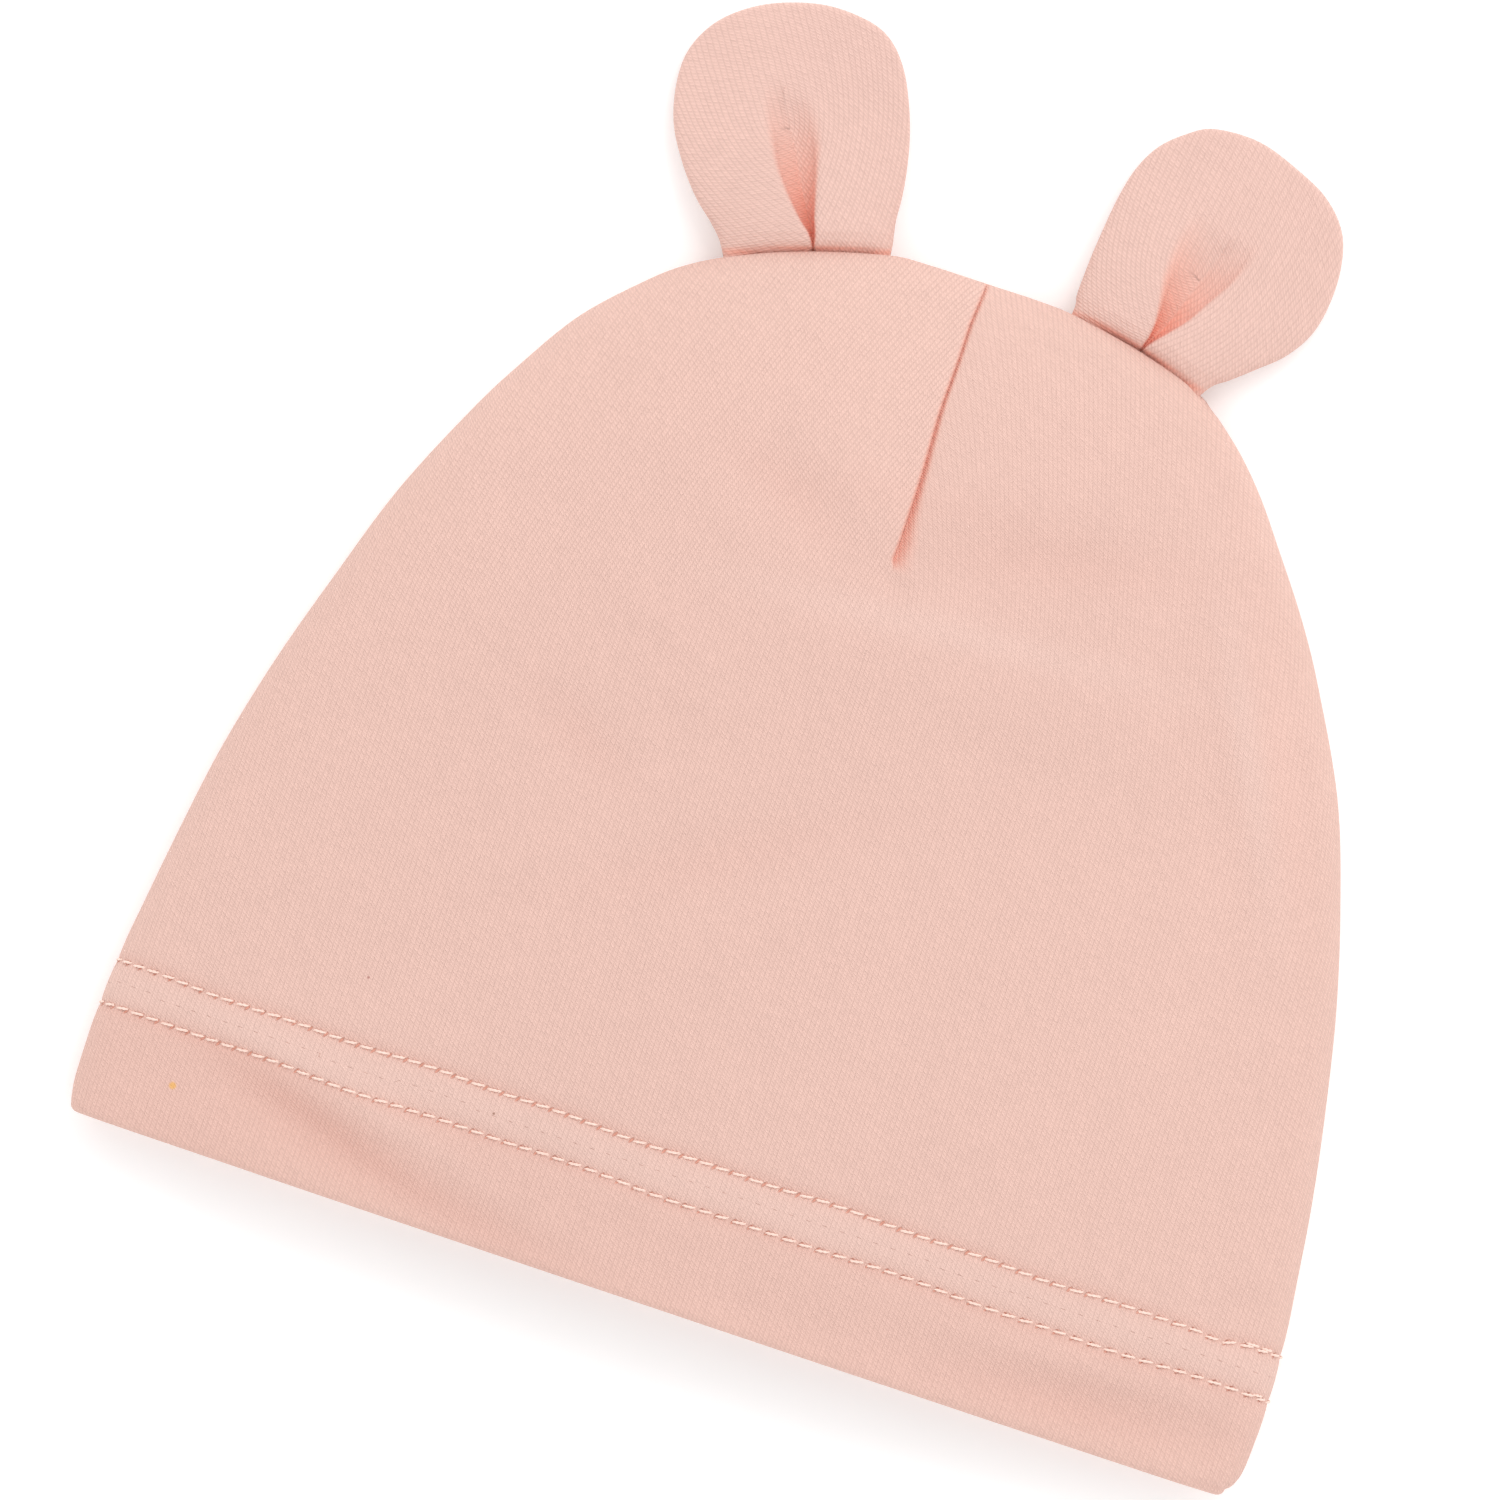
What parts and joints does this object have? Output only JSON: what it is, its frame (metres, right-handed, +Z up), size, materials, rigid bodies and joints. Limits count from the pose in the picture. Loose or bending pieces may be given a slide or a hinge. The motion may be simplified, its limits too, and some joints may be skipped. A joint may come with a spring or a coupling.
{
  "type": "baby hat with ears",
  "caption": "Soft knit baby hat lying flat, with rounded pleated ears set in the crown seam, a centre dart and a stitched turned-up hem, open below for the head.",
  "frame": {"origin": "centre of the whole hat's box seen from above, at the height of the surface that it lies on", "axes": "+Y from the hem to the crown and ears, +X to the right as the front is seen from above, +Z up through the front panel"},
  "size_m": [0.1758, 0.1848, 0.0216],
  "materials": {
    "jersey": "fine single jersey, matt, pale peach pink",
    "jersey_inside": "reverse side of the jersey, matt, pale peach pink",
    "jersey_ear": "fine single jersey, matt, pale peach pink",
    "thread": "textured polyester sewing thread, a little lighter than the cloth"
  },
  "bodies": {
    "root": {"front_panel": "jersey", "back_panel": "jersey", "front_hem": "jersey_inside", "back_hem": "jersey_inside", "left_ear": "jersey_ear", "right_ear": "jersey_ear"}
  },
  "joints": []
}
